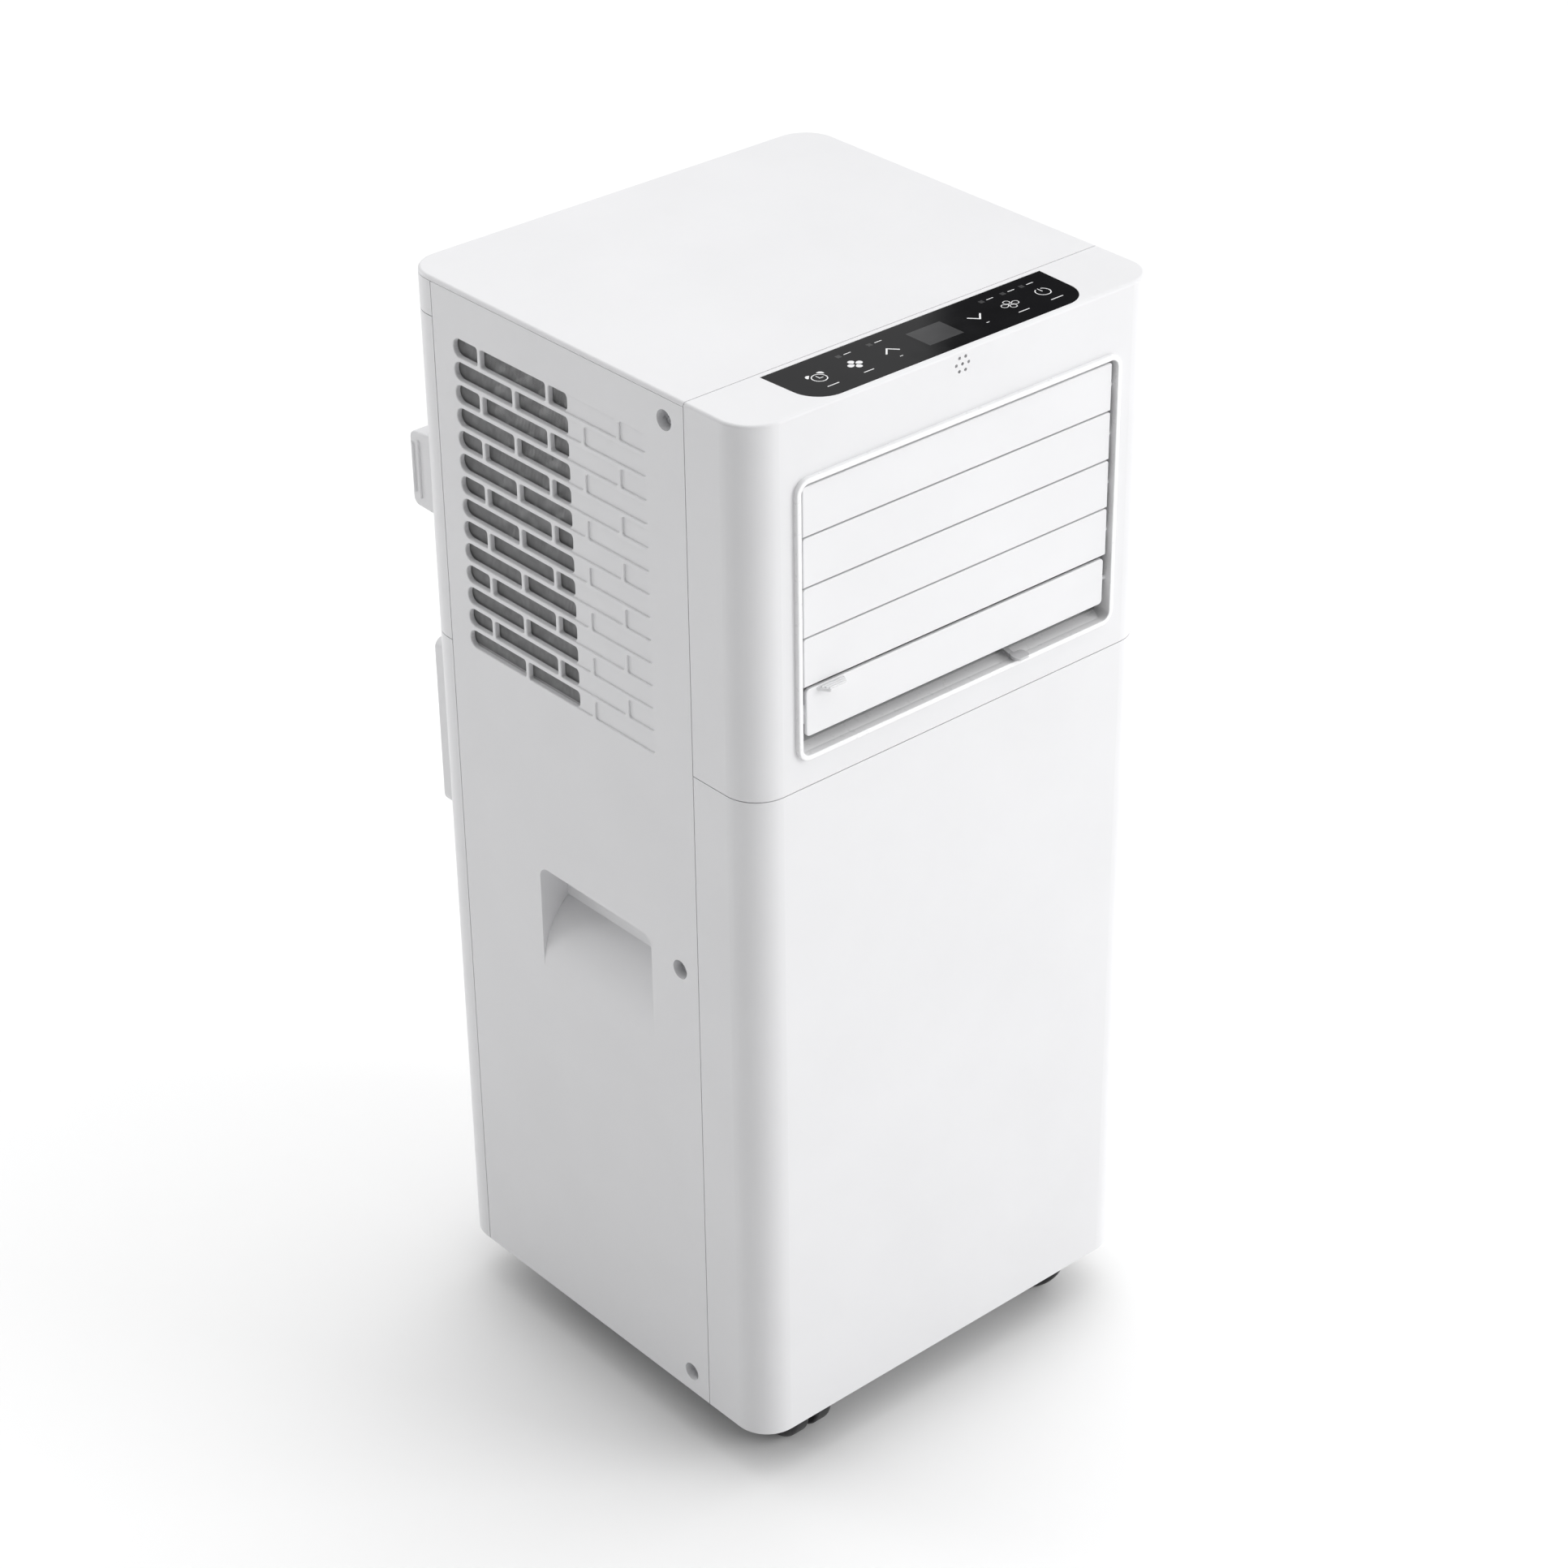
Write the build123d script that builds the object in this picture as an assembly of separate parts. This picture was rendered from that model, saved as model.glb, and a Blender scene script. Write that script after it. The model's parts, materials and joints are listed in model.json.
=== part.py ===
from build123d import *
import os
from math import cos, radians, sin, sqrt, tan

# Portable air conditioner, one STEP per piece, millimetres.
# Modelling frame: x to the right as seen from the front, the front faces -Y, z up from the
# cabinet's bottom edge, x = y = 0 in the middle of the cabinet. save() moves each piece into the
# part's own frame: origin on the floor, under the middle of the whole machine.

os.makedirs("parts", exist_ok=True)

# ---------------------------------------------------------------- driving dimensions
# cabinet
body_w = 302.0  # side to side
body_d = 294.0  # front to back, without the collar
body_h = 668.0  # bottom edge to top
corner_r = 22.0  # upright corners
edge_r = 2.0  # rounding round the top
skin = 3.2  # moulded wall
seam = 0.6  # visible gap between panels
lid_t = 2.4  # top cover
lip = 1.6  # inner lip that closes a seam from behind
lip_reach = 8.0
front_return = 50.0  # how far the front panels wrap round the sides and over the top
rear_return = 26.0
upper_h = 224.7  # top down to the seam across the front

# castors
floor_gap = 35.0  # floor to the cabinet's bottom edge
castor_inset_x = 52.5  # swivel axis from the side
castor_inset_y = 49.5  # swivel axis from the front or back
castor_trail = 15.0
castor_r = 20.0
castor_w = 34.0  # over both wheels
castor_web = 5.0  # between the wheels
castor_axle_r = 2.5
stem_r = 4.0
stem_h = 12.0  # above the well
castor_turn = {"front_left": 0.0, "front_right": 60.0, "rear_left": 28.0, "rear_right": -35.0}

# base
pan_z = 3.0
pan_t = 3.0
pan_rim = 26.0
well_r = 35.0
well_room = 8.0  # over the top of the wheels
well_wall = 2.0

# air outlet in the front
trim_side = 31.4  # cabinet side to the trim's outer edge
trim_drop = 37.5  # top to the trim's outer edge
trim_h = 169.5
trim_bar = 3.1
trim_proud = 2.7
trim_lap = 1.0  # trim flange over the panel
trim_r = 8.4
trim_sleeve = 9.0  # sleeve behind the front face
ledge_depth = 5.0
floor_slope = 15.0  # degrees, outlet floor behind the ledge
roof_drop = 7.0  # outlet's upper edge down to the duct's roof
slat_count = 5
slat_pitch = 30.05
slat_h = 29.1
slat_t = 2.0
slat_top_gap = 2.6
slat_end_gap = 2.65
slat_proud = 0.4
slat_axis_back = 3.4  # slat face to its axis
last_slat_drop = 0.9
last_slat_inset = 1.5
slat_r = 1.6
last_slat_r = 2.6
pin_r = 1.5
fit = 0.06  # radial running clearance
crank_r = 10.0
crank_angle = -40.0
tab_w = 20.0
tab_reach = 6.5

# swing vanes behind the slats
vane_count = 5
vane_pitch = 43.0
vane_chord = 20.0
vane_t = 1.6
vane_back = 31.0  # front face to the vane axis
vane_gap = 3.3  # floor of the outlet to the vane
vane_crank = 8.0
lever_vane = 3
lever_w = 10.0
lever_t = 1.6

# evaporator side
wheel_r = 40.0
wheel_back = 85.0  # front face to the blower axis
wheel_clear = 4.3
wheel_up = 66.0  # ledge to the blower axis
coil_back = 127.0  # front face to the evaporator
evaporator_t = 22.0
duct_t = 2.0

# side intake grille and filter cassette
grille_drop = 29.8  # top to the first slot
grille_rows = 14
slot_pitch = 14.15
slot_h = 11.3
slot_rib = 2.7
slot_short = 21.7
slot_r = 1.7
slot_end_r = 5.4
grille_rear = 44.2  # cabinet back to the slots
grille_front = 82.7  # cabinet front to the slots
blind_depth = 1.0
mouth = 0.4  # bevel round each slot
first_rib_y = 14.5
filter_gap = 0.6
filter_t = 3.6
mesh_t = 0.6
cap_drop = 24.1  # top to the cap's upper seam
cap_h = 205.0
cap_w = 40.0
grip_side = 8.0  # cabinet side to the grip's outer face
grip_w = 16.0
grip_h = 48.5
grip_drop = 6.9  # below the middle of the cap
grip_reach = 15.0  # past the cabinet back
grip_root = 10.5

# hand grips in the sides
pocket_y = 47.3
pocket_w = 102.6
pocket_top_drop = 125.7  # seam across the front down to the grip's ceiling
pocket_h = 70.0
pocket_depth = 20.0
pocket_scoop = 54.0
pocket_wall = 2.4
pocket_corner = 7.0

# side screws
screw_hole_r = 6.0
screw_hole_depth = 7.0
screw_seat = 2.0
screw_head_r = 3.6
screw_r = 1.8
lug_t = 4.0
screw_from_front = 66.2
screw_drop = 15.7
screw_low = 14.9
screw_mid_drop = 135.0

# control panel on the top strip
panel_side = 49.2
panel_from_front = 3.6
panel_d = 42.7
panel_t = 1.4
panel_corner = 18.0
panel_taper = 2.0
sensor_r = 1.0
sensor_ring = 4.5
sensor_drop = 8.4

# exhaust collar and rear panels
collar_w = 255.0
collar_h = 114.0
collar_drop = 143.4  # corner cap's lower seam down to the collar's bottom
collar_reach = 26.5
collar_t = 3.0
collar_r = 6.0
intake_w = 190.0
intake_slot_h = 6.0
intake_slot_pitch = 12.0
upper_intakes = 12
lower_intakes = 17
lower_intake_z = 62.0

# condenser side
deck_drop = 11.0  # seam across the front down to the deck's upper face
deck_t = 3.0
compressor_r = 48.0
compressor_h = 190.0
compressor_at = (-36.0, -60.0)
foot_r = 9.0
foot_h = 12.0
foot_ring = 62.0
accumulator_r = 18.0
accumulator_h = 120.0
accumulator_at = (36.0, -72.0)
condenser_w = 230.0
condenser_t = 26.0
condenser_h = 226.0
condenser_z = 54.0
blower_r = 82.0
blower_w = 40.0
blower_z = 165.0
scroll_r = 104.0
scroll_depth = 52.0
scroll_y = 34.0
pipe_r = 4.0
gland_side = 33.0
gland_z = 48.0
drain_side = 33.0
drain_z = 40.0

# electric box
box_w = 76.0
box_d = 76.0
box_h = 170.0
box_z0 = 120.0
box_side = 15.5
box_front = 9.0

# ---------------------------------------------------------------- derived positions
half_w = body_w / 2
half_d = body_d / 2
front_y = -half_d
front_seam_y = front_y + front_return
rear_seam_y = half_d - rear_return
seam_z = body_h - upper_h
inner_x = half_w - skin
inner_y = half_d - skin
front_reach = slat_proud + tab_reach
shift = Vector(0, (front_reach - collar_reach) / 2, floor_gap)

trim_x = half_w - trim_side  # half width over the trim
trim_z1 = body_h - trim_drop
trim_z0 = trim_z1 - trim_h
outlet_x = trim_x - trim_bar  # half width of the outlet
outlet_z0 = trim_z0 + trim_bar
outlet_z1 = trim_z1 - trim_bar
sleeve_y = front_y + trim_sleeve
sleeve_x = trim_x - trim_lap
slat_face_y = front_y - slat_proud
slat_axis_y = slat_face_y + slat_axis_back
slat_x = outlet_x - slat_end_gap
slat_top_z = outlet_z1 - slat_top_gap
link_y = slat_axis_y + crank_r * cos(radians(crank_angle))
link_dz = crank_r * sin(radians(crank_angle))

vane_y = front_y + vane_back
vane_flat0_y = vane_y - vane_chord / 2 - 2
vane_flat1_y = vane_y + vane_chord / 2 + 2
ledge_y = front_y - trim_proud + ledge_depth
floor_z = outlet_z0 + (vane_flat0_y - ledge_y) * tan(radians(floor_slope))
roof_z = outlet_z1 - roof_drop
vane_z0 = floor_z + vane_gap
vane_z1 = roof_z - vane_gap

wheel_y = front_y + wheel_back
wheel_z = outlet_z0 + wheel_up
evaporator_y = front_y + coil_back
open_y = evaporator_y + evaporator_t + 0.5  # the grille is open behind the evaporator
deck_z = seam_z - deck_drop
coil_end_x = outlet_x + 12
riser_x = inner_x - pipe_r - 1.8
riser_y = evaporator_y + evaporator_t / 2

grille_y1 = half_d - grille_rear
grille_y0 = front_y + grille_front
grille_len = grille_y1 - grille_y0
grille_z1 = body_h - grille_drop
slot_long = (grille_len - 3 * slot_rib - 2 * slot_short) / 2
slot_even = (grille_len - 2 * slot_rib - slot_long) / 2
cap_z1 = body_h - cap_drop
cap_z0 = cap_z1 - cap_h
collar_z = cap_z0 - collar_drop
filter_x = inner_x - filter_gap  # outer face of the filter frame
filter_y0 = open_y + 1.5
filter_z0 = cap_z0 + 3.1
filter_z1 = cap_z1 - 2.9
pocket_z1 = seam_z - pocket_top_drop
pocket_z0 = pocket_z1 - pocket_h
screw_y = front_y + screw_from_front
axle_z = castor_r - floor_gap
well_top = axle_z + castor_r + well_room
gland_x = -half_w + gland_side
drain_x = half_w - drain_side
box_x1 = half_w - box_side
box_x0 = box_x1 - box_w
box_y0 = front_y + box_front
box_y1 = box_y0 + box_d
screw_heights = (screw_low, seam_z - screw_mid_drop, body_h - screw_drop)


# ---------------------------------------------------------------- helpers
def save(name, shape):
    """Write one piece, moved into the part's own frame."""
    export_step(Pos(shift.X, shift.Y, shift.Z) * shape, f"parts/{name}.step")


def block(x0, x1, y0, y1, z0, z1):
    """Box between two corners."""
    return Pos((x0 + x1) / 2, (y0 + y1) / 2, (z0 + z1) / 2) * Box(x1 - x0, y1 - y0, z1 - z0)


def floor_rise(y):
    """How far the outlet's sloping floor has risen above its ledge at a depth y."""
    return (y - ledge_y) * tan(radians(floor_slope))


def rod(start, end, radius):
    """Round bar between two points."""
    a = Vector(*start)
    run = Vector(*end) - a
    return extrude(Plane(origin=a, z_dir=run) * Circle(radius), run.length)


def polygon(points):
    """Face inside a closed run of points."""
    return make_face(Polyline(*points, close=True))


def along_x(face, x0, x1):
    """Extrude a face drawn in (y, z) from x0 to x1."""
    return extrude(Plane.YZ.offset(x0) * face, x1 - x0)


def along_y(face, y0, y1):
    """Extrude a face drawn in (x, z) from y0 to y1."""
    plane = Plane(origin=(0, y1, 0), x_dir=(1, 0, 0), z_dir=(0, -1, 0))
    return extrude(plane * face, y1 - y0)


def along_z(face, z0, z1):
    """Extrude a face drawn in (x, y) from z0 to z1."""
    return extrude(Pos(0, 0, z0) * face, z1 - z0)


def strip(points, thickness):
    """Face of a bent sheet: the run of points and the same run lowered by the thickness."""
    lowered = [(a, b - thickness) for a, b in reversed(points)]
    return polygon(list(points) + lowered)


def other_side(shape):
    """The same piece on the other side of the machine."""
    return mirror(shape, Plane.YZ)


def both_sides(shape):
    return shape + other_side(shape)


def cabinet(inset, z0, z1):
    """Upright block with the cabinet's outline, set in by the inset."""
    outline = RectangleRounded(body_w - 2 * inset, body_d - 2 * inset, corner_r - inset)
    return along_z(outline, z0, z1)


def outer_block():
    block_ = cabinet(0, 0, body_h)
    return fillet(block_.edges().group_by(Axis.Z)[-1], edge_r)


hull = outer_block()
shell = hull - cabinet(skin, -1, body_h - skin)


def liner(z0, z1):
    """Band of lip thickness against the inside of the shell."""
    return cabinet(skin, z0, z1) - cabinet(skin + lip, z0 - 1, z1 + 1)


def side_lip(y0, y1, z0, z1):
    return both_sides(block(inner_x - lip, inner_x, y0, y1, z0, z1))


# ---------------------------------------------------------------- front panels
def screw_lugs(heights):
    """Lugs on a front panel that take the side screws."""
    x1 = half_w - screw_hole_depth - screw_seat
    x0 = x1 - lug_t
    lugs = []
    for z in heights:
        lug = block(x0, x1, front_seam_y, screw_y + 7, z - 7, z + 7)
        lug += block(x0, inner_x - lip, front_seam_y, front_seam_y + lip_reach - 1, z - 7, z + 7)
        lugs.append(lug - rod((x0 - 1, screw_y, z), (x1 + 1, screw_y, z), screw_r + fit))
    return lugs


def front_lower_panel():
    z1 = seam_z - seam / 2
    panel = shell & block(-half_w, half_w, front_y, front_seam_y - seam / 2, 0, z1)
    panel += side_lip(front_seam_y - lip_reach, front_seam_y + lip_reach, pan_z + pan_t + 1, z1)
    rear_cut = block(-half_w, half_w, front_seam_y - lip_reach, half_d, 0, body_h)
    panel += liner(z1 - lip_reach, z1 + lip_reach) - rear_cut
    for lug in screw_lugs(screw_heights[:2]):
        panel += both_sides(lug)
    return panel


def overlay_face(grow):
    """Outline of the control panel, square at the back and rounded towards the front."""
    half = half_w - panel_side + grow
    y0 = front_y + panel_from_front - grow
    y1 = y0 + panel_d + 2 * grow
    face = polygon([(-half + panel_taper, y0), (half - panel_taper, y0), (half, y1), (-half, y1)])
    return fillet(face.vertices().group_by(Axis.Y)[0], panel_corner)


def sensor_holes():
    """One hole and six round it, for the buzzer behind the front."""
    z = body_h - sensor_drop
    holes = rod((0, front_y - 1, z), (0, front_y + skin + 1, z), sensor_r)
    for k in range(6):
        x = sensor_ring * cos(radians(60 * k))
        dz = sensor_ring * sin(radians(60 * k))
        holes += rod((x, front_y - 1, z + dz), (x, front_y + skin + 1, z + dz), sensor_r)
    return holes


def front_upper_panel():
    z0 = seam_z + seam / 2
    panel = shell & block(-half_w, half_w, front_y, front_seam_y - seam / 2, z0, body_h)
    lips = side_lip(front_seam_y - lip_reach, front_seam_y + lip_reach, z0 + lip_reach, body_h - skin)
    top_lip = block(-inner_x, inner_x, front_seam_y - lip_reach, front_seam_y + lip_reach,
                    body_h - skin - lip, body_h - skin)
    panel += lips + top_lip
    opening = Pos(0, (outlet_z0 + outlet_z1) / 2) * RectangleRounded(
        2 * sleeve_x + 0.2, trim_h - 2 * trim_lap + 0.2, trim_r - trim_lap)
    panel -= along_y(opening, front_y - 1, front_y + skin + 1)
    panel -= along_z(overlay_face(0.15), body_h - panel_t - 0.1, body_h + 1)
    panel -= sensor_holes()
    for lug in screw_lugs(screw_heights[2:]):
        panel += both_sides(lug)
    return panel


def louvre_trim():
    middle = Pos(0, (trim_z0 + trim_z1) / 2)
    flange = along_y(middle * RectangleRounded(2 * trim_x, trim_h, trim_r), front_y - trim_proud, front_y)
    flange = fillet(flange.edges().group_by(Axis.Y)[0], 0.8)
    sleeve = middle * RectangleRounded(2 * sleeve_x, trim_h - 2 * trim_lap, trim_r - trim_lap)
    trim = flange + along_y(sleeve, front_y, sleeve_y)
    hole = middle * RectangleRounded(2 * outlet_x, trim_h - 2 * trim_bar, trim_r - trim_bar)
    hole = along_y(hole, front_y - trim_proud - 1, sleeve_y + 1)
    trim -= hole
    trim = fillet(trim.faces().sort_by(Axis.Y)[0].inner_wires()[0].edges(), 0.5)
    rise = floor_rise(sleeve_y)
    wedge = [(ledge_y, outlet_z0), (sleeve_y, outlet_z0 + rise), (sleeve_y, outlet_z0 - 1),
             (ledge_y, outlet_z0 - 1)]
    trim += along_x(polygon(wedge), -sleeve_x, sleeve_x) & along_y(sleeve, front_y, sleeve_y)
    for k in range(slat_count):
        z = slat_axis_z(k)
        trim -= rod((-sleeve_x - 1, slat_axis_y, z), (sleeve_x + 1, slat_axis_y, z), pin_r + fit)
    return trim


# ---------------------------------------------------------------- slats and vanes
def slat_axis_z(k):
    drop = last_slat_drop if k == slat_count - 1 else 0
    return slat_top_z - slat_h / 2 - k * slat_pitch - drop


def slat(k):
    last = k == slat_count - 1
    half = slat_x - (last_slat_inset if last else 0)
    z = slat_axis_z(k)
    face = Pos(0, z) * Rectangle(2 * half, slat_h)
    corners = face.vertices() if last else face.vertices().group_by(Axis.Y)[-1]
    face = fillet(corners, last_slat_r if last else slat_r)
    plate = along_y(face, slat_face_y, slat_face_y + slat_t)
    plate = fillet(plate.faces().sort_by(Axis.Y)[0].edges(), 0.6)
    for side in (-1, 1):
        ear = [(slat_face_y + slat_t, z - 5), (slat_face_y + slat_t, z + 5),
               (slat_axis_y + 1.5, z + 1.8), (slat_axis_y + 1.5, z - 1.8)]
        ear_x = side * (half - 0.75)
        plate += along_x(polygon(ear), ear_x - 0.75, ear_x + 0.75)
        plate += rod((side * (half - 1), slat_axis_y, z), (side * (outlet_x + 1.6), slat_axis_y, z), pin_r)
    crank = [(slat_face_y + slat_t, z + 1), (slat_face_y + slat_t, z - 7),
             (link_y - 1, z + link_dz - 2), (link_y + 2, z + link_dz), (link_y, z + link_dz + 2)]
    plate += along_x(polygon(crank), -half, -half + 1.5)
    plate += rod((-half + 1, link_y, z + link_dz), (-outlet_x + 0.5, link_y, z + link_dz), 1.2)
    return plate


def finger_tab():
    """Ribbed tab at the left end of the lowest slat's upper edge."""
    z1 = slat_axis_z(slat_count - 1) + slat_h / 2
    x0 = -slat_x + 8.5
    y0 = slat_face_y
    outline = polygon([(x0, y0 + 0.5), (x0 + tab_w, y0 + 0.5), (x0 + tab_w - 3.4, y0 - tab_reach),
                       (x0 + 4.6, y0 - tab_reach)])
    outline = fillet(outline.vertices().group_by(Axis.Y)[0], 1.6)
    tab = along_z(outline, z1 - 2.6, z1 - 0.9)
    for k in range(3):
        y = y0 - 1.6 - 1.9 * k
        tab += rod((x0 + 2.6 + 1.1 * k, y, z1 - 0.9), (x0 + tab_w - 2.0 - 0.6 * k, y, z1 - 0.9), 0.55)
    return tab


def slat_link():
    """Thin bar in the gap beside the slats that joins their cranks."""
    x1 = -slat_x - 0.6
    x0 = -outlet_x + 0.75
    top = slat_axis_z(0) + link_dz + 3
    bottom = slat_axis_z(slat_count - 1) + link_dz - 3
    bar = block(x0, x1, link_y - 2.2, link_y + 2.2, bottom, top)
    for k in range(slat_count):
        z = slat_axis_z(k) + link_dz
        bar -= rod((x0 - 1, link_y, z), (x1 + 1, link_y, z), 1.2 + fit)
    return bar


def vane_x(k):
    return (k - (vane_count - 1) / 2) * vane_pitch


def vane(k):
    x = vane_x(k)
    outline = Pos(x, vane_y) * Rectangle(vane_t, vane_chord)
    outline = fillet(outline.vertices(), vane_t * 0.4)
    plate = along_z(outline, vane_z0, vane_z1)
    plate += rod((x, vane_y, floor_z - duct_t), (x, vane_y, roof_z + duct_t), pin_r)
    crank_y = vane_y + vane_crank
    plate += rod((x, crank_y, vane_z0 - 2.8), (x, crank_y, vane_z0 + 1), 1.2)
    return plate


def swing_lever():
    """Finger lever on one vane that reaches out under the lowest slat."""
    x = vane_x(lever_vane)
    low_y = ledge_y + 0.3
    low_z = outlet_z0 + 1.7
    bends = [(vane_y - 6, vane_z0 + lever_t), (vane_y - 12, vane_z0), (low_y, low_z + lever_t),
             (low_y - 2, low_z + lever_t)]
    lever = along_x(strip(bends, lever_t), x - 1.6, x + 1.6)
    tip_y = slat_face_y - tab_reach + 0.4
    paddle = Pos(x + 2.4, (low_y - 1 + tip_y) / 2) * RectangleRounded(lever_w, low_y - 1 - tip_y, 2.8)
    return lever + along_z(paddle, low_z, low_z + lever_t)


def vane_link():
    y = vane_y + vane_crank
    end = vane_x(vane_count - 1) + 5
    bar = block(-end, end, y - 2.6, y + 2.6, vane_z0 - 2.4, vane_z0 - 0.8)
    for k in range(vane_count):
        bar -= rod((vane_x(k), y, vane_z0 - 4), (vane_x(k), y, vane_z0), 1.2 + fit)
    return bar


# ---------------------------------------------------------------- outlet duct and evaporator
def outlet_duct():
    """Floor, roof and cheeks that carry the vanes and wrap the cross-flow wheel."""
    mouth_y = sleeve_y + 0.3
    under_wheel = wheel_z - wheel_r - wheel_clear - 2
    floor = [(mouth_y, outlet_z0 + floor_rise(mouth_y)), (vane_flat0_y, floor_z), (vane_flat1_y, floor_z),
             (vane_flat1_y + 18, floor_z + 9), (wheel_y - 2, under_wheel), (wheel_y + 14, under_wheel)]
    roof = [(mouth_y, outlet_z1 - 2), (vane_flat0_y, roof_z), (vane_flat1_y, roof_z),
            (wheel_y - 8, wheel_z + wheel_r + 24), (wheel_y + 17, wheel_z + wheel_r + 9),
            (wheel_y + 26, wheel_z + wheel_r + 2)]
    duct = along_x(strip(floor, duct_t), -outlet_x, outlet_x)
    roof_raised = [(y, z + duct_t) for y, z in roof]
    duct += along_x(strip(roof_raised, duct_t), -outlet_x, outlet_x)
    cheek = block(outlet_x, outlet_x + duct_t, mouth_y, evaporator_y - 0.5, deck_z, outlet_z1 + 3)
    duct += both_sides(cheek)
    for side in (-1, 1):
        duct += rod((side * outlet_x, wheel_y, wheel_z), (side * (outlet_x + 6), wheel_y, wheel_z), 9)
    duct -= rod((-outlet_x - 8, wheel_y, wheel_z), (outlet_x + 8, wheel_y, wheel_z), 4 + fit)
    for k in range(vane_count):
        duct -= rod((vane_x(k), vane_y, floor_z - 9), (vane_x(k), vane_y, roof_z + 9), pin_r + fit)
    return duct


def evaporator_wheel():
    """Cross-flow wheel: slanted blades between discs, on a through shaft."""
    end = outlet_x - 4
    blade = Pos(wheel_r - 6.5, 0) * Rotation(0, 0, 24) * Rectangle(11, 1.0)
    ring = Sketch() + [Rotation(0, 0, 360 / 32 * k) * blade for k in range(32)]
    wheel = extrude(Plane.YZ.offset(-end + 1) * ring, 2 * end - 2)
    for k in range(5):
        x = -end + k * (2 * end - 2) / 4
        disc = extrude(Plane.YZ.offset(x) * Circle(wheel_r), 2)
        if 0 < k < 4:
            disc -= extrude(Plane.YZ.offset(x - 1) * Circle(wheel_r - 12), 4)
        wheel += disc
    wheel += rod((-end, 0, 0), (-outlet_x - 5, 0, 0), 4)
    wheel += rod((end, 0, 0), (outlet_x + 14, 0, 0), 4)
    return Pos(0, wheel_y, wheel_z) * wheel


def evaporator_motor():
    x0 = outlet_x + 6
    x1 = inner_x - lip - 2
    motor = rod((x0, wheel_y, wheel_z), (x1, wheel_y, wheel_z), 26)
    motor = fillet(motor.edges().group_by(Axis.X)[-1], 3)
    foot = block(x0, x0 + 3, wheel_y - 24, wheel_y + 24, deck_z, wheel_z)
    motor += foot
    return motor - rod((x0 - 1, wheel_y, wheel_z), (outlet_x + 15, wheel_y, wheel_z), 4 + fit)


def coil(half, y0, y1, z0, z1, rows):
    """Fin pack between two end plates, with tube bends past the plates."""
    pack = block(-half, half, y0, y1, z0, z1)
    step = 6.0
    count = int((2 * half - 12) // step)
    for k in range(count):
        x = -step * (count - 1) / 2 + k * step
        for face_y in (y0, y1):
            pack -= block(x - 2.4, x + 2.4, face_y - 1.2, face_y + 1.2, z0 + 4, z1 - 4)
    pitch = (z1 - z0 - 24) / rows
    middle = (y0 + y1) / 2
    for side in (-1, 1):
        for k in range(rows):
            z = z0 + 12 + pitch * (k + 0.5)
            bend = Pos(side * half, middle, z) * Rotation(90, 0, 0) * Torus(pitch * 0.25, 2.6)
            keep_x = sorted((side * half, side * (half + 20)))
            keep = block(*keep_x, y0, y1, z0, z1)
            pack += bend & keep
    return pack


def evaporator_coil():
    return coil(coil_end_x, evaporator_y, evaporator_y + evaporator_t, deck_z, cap_z1 - 6, 8)


def condenser_coil():
    y1 = inner_y - 18
    return coil(condenser_w / 2, y1 - condenser_t, y1, condenser_z, condenser_z + condenser_h, 9)


# ---------------------------------------------------------------- side panels and filters
def slot_spans(row):
    """Ends of each slot in a row, from the back to the front."""
    lengths = [slot_even, slot_long, slot_even]
    if row % 2 == 0:
        lengths = [slot_short, slot_long, slot_long, slot_short]
    spans = []
    y = grille_y1
    for length in lengths:
        spans.append((y - length, y))
        y -= length + slot_rib
    return spans


def slot_face(y0, y1, z, end_r, front_r, grow=0):
    """One slot, drawn in (y, z), with its own rear and front corner radius."""
    face = Pos((y0 + y1) / 2, z) * Rectangle(y1 - y0 + 2 * grow, slot_h + 2 * grow)
    face = fillet(face.vertices().group_by(Axis.X)[-1], end_r + grow)
    return fillet(face.vertices().group_by(Axis.X)[0], front_r + grow)


def grille_faces():
    """Slots as recesses, as openings and as bevelled mouths, drawn in (y, z)."""
    recess = []
    opening = []
    mouths = []
    for row in range(grille_rows):
        z = grille_z1 - slot_h / 2 - row * slot_pitch
        for k, (y0, y1) in enumerate(slot_spans(row)):
            end_r = slot_end_r if k == 0 else slot_r
            recess.append(slot_face(y0, y1, z, end_r, slot_r))
            mouths.append(slot_face(y0, y1, z, end_r, slot_r, mouth))
            if y1 > open_y + 8:
                cut_y = max(y0, open_y)
                front_r = 3.6 if cut_y > y0 else slot_r
                opening.append(slot_face(cut_y, y1, z, end_r, front_r))
    return Sketch() + recess, Sketch() + opening, Sketch() + mouths


def pocket_profile(grow):
    """Section of the hand grip in (x, z): a scoop that rises to an upright back wall."""
    depth = pocket_depth + grow
    rise = sqrt(2 * pocket_scoop * pocket_depth - pocket_depth**2)
    x0 = -half_w
    low = (x0, pocket_z0 - grow)
    back = (x0 + depth, pocket_z0 + rise - grow)
    mid_depth = depth * 0.32
    mid = (x0 + mid_depth, pocket_z0 - grow + sqrt(2 * pocket_scoop * mid_depth - mid_depth**2))
    top = (x0 + depth, pocket_z1 + grow)
    outer = (x0, pocket_z1 + grow)
    edges = [ThreePointArc(low, mid, back), Line(back, top), Line(top, outer), Line(outer, low)]
    return make_face(edges)


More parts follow.
